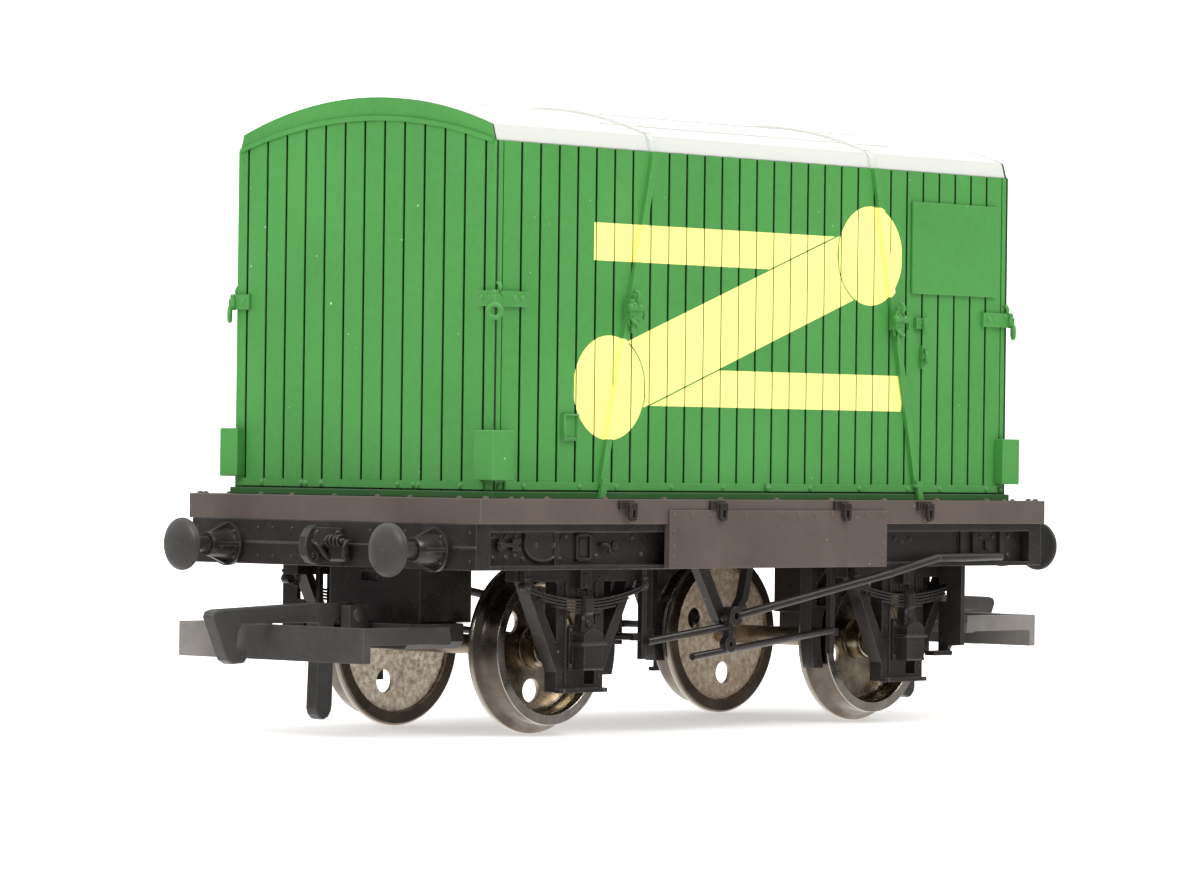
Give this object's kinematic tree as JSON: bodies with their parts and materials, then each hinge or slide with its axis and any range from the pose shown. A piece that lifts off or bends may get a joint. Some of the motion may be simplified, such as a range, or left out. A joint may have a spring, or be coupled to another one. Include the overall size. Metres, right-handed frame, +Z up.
{
  "type": "model railway container flat wagon with container",
  "caption": "Small-scale four-wheel flat wagon with leaf springs, brake gear, buffers and hook couplings, carrying a hollow planked container with an arched roof.",
  "frame": {"origin": "centre of the object's box in plan, at the bottom of the wheel flanges", "axes": "+X along the wagon from end A to end B, +Y to the far side, +Z up"},
  "size_m": [0.0962, 0.034, 0.0507],
  "materials": {
    "brown_plastic": "satin moulded plastic, grey-brown",
    "black_plastic": "satin moulded plastic, black",
    "grey_plastic": "satin moulded plastic, dark grey",
    "green_paint": "satin green paint on moulded plastic",
    "dark_green_paint": "satin darker green paint on moulded plastic",
    "roof_white": "satin off-white paint on moulded plastic",
    "wheel_metal": "turned blackened nickel",
    "steel_weight": "plain rolled steel",
    "print_cream": "printed cream-yellow"
  },
  "bodies": {
    "underframe": {"deck": "brown_plastic", "side_plate_near": "brown_plastic", "side_plate_far": "brown_plastic", "tie_rings": "brown_plastic", "headstock_a": "black_plastic", "headstock_b": "black_plastic", "solebar_near": "black_plastic", "solebar_far": "black_plastic", "underframe_floor": "black_plastic", "ballast_weight": "steel_weight", "w_iron_a_near": "black_plastic", "w_iron_a_far": "black_plastic", "w_iron_b_near": "black_plastic", "w_iron_b_far": "black_plastic", "axleboxes": "black_plastic", "leaf_springs": "black_plastic", "buffer_housings_a": "black_plastic", "buffer_housings_b": "black_plastic", "buffer_heads_a": "grey_plastic", "buffer_heads_b": "grey_plastic", "draw_hooks": "black_plastic", "coupler_box_a": "black_plastic", "coupler_box_b": "black_plastic", "coupling_frame_a": "grey_plastic", "coupling_frame_b": "grey_plastic", "v_hangers": "black_plastic", "brake_shoes": "black_plastic", "brake_rods": "black_plastic", "brake_lever_near": "black_plastic", "brake_lever_far": "black_plastic", "lever_guards": "black_plastic"},
    "wheelset_a": {"axle_a": "wheel_metal", "wheel_a_near": "wheel_metal", "wheel_a_far": "wheel_metal"},
    "wheelset_b": {"axle_b": "wheel_metal", "wheel_b_near": "wheel_metal", "wheel_b_far": "wheel_metal"},
    "hook_a": {"coupling_hook_a": "grey_plastic"},
    "hook_b": {"coupling_hook_b": "grey_plastic"},
    "container": {"container_base": "dark_green_paint", "container_side_near": "green_paint", "container_side_far": "green_paint", "container_end_a": "green_paint", "container_end_b": "green_paint", "container_roof": "roof_white", "corner_blocks": "green_paint", "lifting_rings": "green_paint", "load_straps": "dark_green_paint", "notice_panels": "green_paint", "side_fittings": "green_paint"}
  },
  "joints": [
    {"name": "wheelset_a_spin", "type": "hinge", "parent": "underframe", "child": "wheelset_a", "pos_m": [-0.02, 0, 0.007], "axis": [0, 1, 0], "continuous": true},
    {"name": "wheelset_b_spin", "type": "hinge", "parent": "underframe", "child": "wheelset_b", "pos_m": [0.02, 0, 0.007], "axis": [0, 1, 0], "continuous": true},
    {"name": "hook_a_lift", "type": "hinge", "parent": "underframe", "child": "hook_a", "pos_m": [-0.0335, 0, 0.0096], "axis": [0, 1, 0], "range_deg": [0, 18]},
    {"name": "hook_b_lift", "type": "hinge", "parent": "underframe", "child": "hook_b", "pos_m": [0.0335, 0, 0.0096], "axis": [0, -1, 0], "range_deg": [0, 18]},
    {"name": "container_lift_off", "type": "slide", "parent": "underframe", "child": "container", "axis": [0, 0, 1], "range_m": [0, 0.03]}
  ]
}
